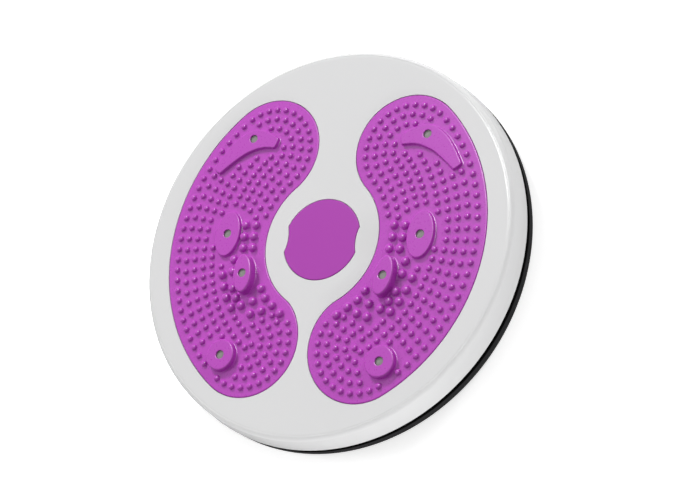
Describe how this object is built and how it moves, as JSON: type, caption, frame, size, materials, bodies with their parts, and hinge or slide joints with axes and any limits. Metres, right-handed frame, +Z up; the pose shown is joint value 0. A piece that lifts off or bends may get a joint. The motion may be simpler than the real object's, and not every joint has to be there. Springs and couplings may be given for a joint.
{
  "type": "waist twist disc",
  "caption": "Round standing disc for waist twisting: a platform with nubbed foot pads turns on a ball ring over a low fixed base.",
  "frame": {"origin": "centre of the disc at floor level, under the feet", "axes": "+Z up along the turning axis, +Y towards the toes, +X towards the right foot"},
  "size_m": [0.28, 0.28, 0.0372],
  "materials": {
    "white_shell": "satin moulded white plastic",
    "purple_pad": "soft moulded purple rubber with massage nubs",
    "purple_badge": "fine-grained purple plastic inlay",
    "black_base": "matt black moulded plastic",
    "foot_rubber": "matt black rubber",
    "magnet_grey": "dull grey sintered disc",
    "bright_steel": "bright zinc-plated and polished steel",
    "cage_plastic": "natural nylon",
    "bush_plastic": "natural acetal"
  },
  "bodies": {
    "base": {"base_plate": "black_base", "pivot_bush": "bush_plastic", "foot_1": "foot_rubber", "foot_2": "foot_rubber", "foot_3": "foot_rubber", "foot_4": "foot_rubber", "foot_5": "foot_rubber", "foot_6": "foot_rubber"},
    "platform": {"platform_shell": "white_shell", "right_foot_pad": "purple_pad", "left_foot_pad": "purple_pad", "centre_badge": "purple_badge", "right_toe_magnet": "magnet_grey", "right_instep_magnet": "magnet_grey", "right_arch_magnet": "magnet_grey", "right_heel_magnet": "magnet_grey", "left_toe_magnet": "magnet_grey", "left_instep_magnet": "magnet_grey", "left_arch_magnet": "magnet_grey", "left_heel_magnet": "magnet_grey", "retaining_washer": "bright_steel", "pivot_screw": "bright_steel"},
    "ball_cage": {"ball_cage": "cage_plastic", "ball_01": "bright_steel", "ball_02": "bright_steel", "ball_03": "bright_steel", "ball_04": "bright_steel", "ball_05": "bright_steel", "ball_06": "bright_steel", "ball_07": "bright_steel", "ball_08": "bright_steel", "ball_09": "bright_steel", "ball_10": "bright_steel", "ball_11": "bright_steel", "ball_12": "bright_steel", "ball_13": "bright_steel", "ball_14": "bright_steel", "ball_15": "bright_steel", "ball_16": "bright_steel", "ball_17": "bright_steel", "ball_18": "bright_steel", "ball_19": "bright_steel", "ball_20": "bright_steel"}
  },
  "joints": [
    {"name": "platform_turn", "type": "hinge", "parent": "base", "child": "platform", "pos_m": [0, 0, 0.031], "axis": [0, 0, 1], "continuous": true},
    {"name": "cage_turn", "type": "hinge", "parent": "base", "child": "ball_cage", "pos_m": [0, 0, 0.017], "axis": [0, 0, 1], "continuous": true}
  ],
  "couplings": [
    {"joint": "cage_turn", "follows": "platform_turn", "ratio": 0.5}
  ]
}
